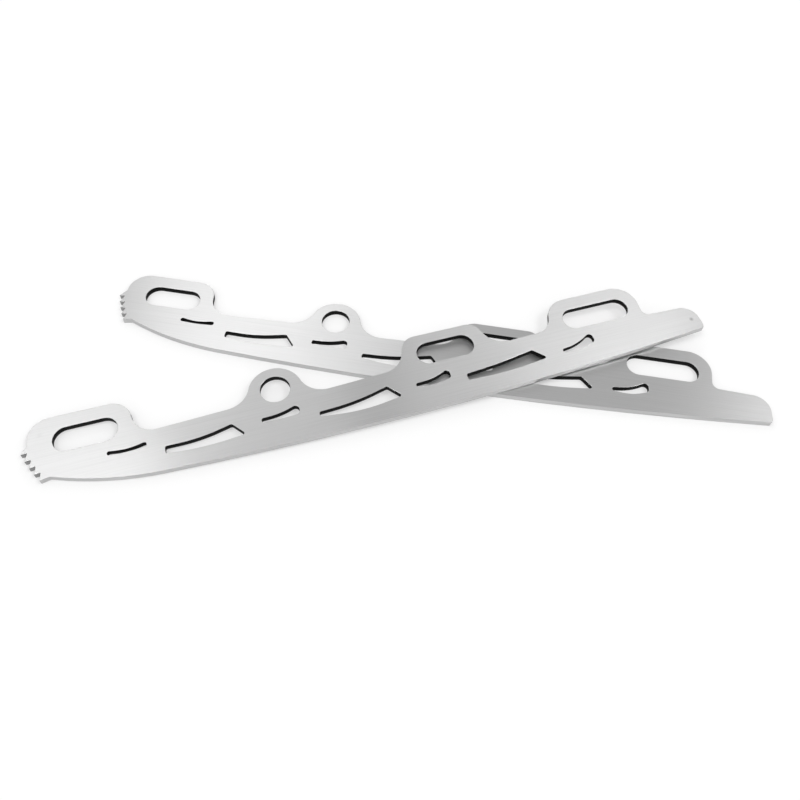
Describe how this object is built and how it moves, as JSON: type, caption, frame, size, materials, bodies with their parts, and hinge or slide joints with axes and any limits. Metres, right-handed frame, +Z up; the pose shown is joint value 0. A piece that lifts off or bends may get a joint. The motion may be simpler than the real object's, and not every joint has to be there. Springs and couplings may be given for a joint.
{
  "type": "ice skate blade pair",
  "caption": "Flat steel figure-skating blades with toe picks, rockered hollow-ground edges and slotted ears that bolt into an inline frame, lying crossed as a pair.",
  "frame": {"origin": "centre of the lower blade's round hole, on the surface that the pair lies on", "axes": "+X along the lower blade towards its heel, +Y from its running edge towards its ears, +Z up, square to the lower blade"},
  "size_m": [0.3344, 0.1498, 0.0091],
  "materials": {
    "steel": "finely ground"
  },
  "bodies": {
    "lower": {"lower_blade": "steel"},
    "upper": {"upper_blade": "steel"}
  },
  "joints": [
    {"name": "upper_lift", "type": "slide", "parent": "lower", "child": "upper", "axis": [0, 0, 1], "range_m": [0, 0.06]}
  ]
}
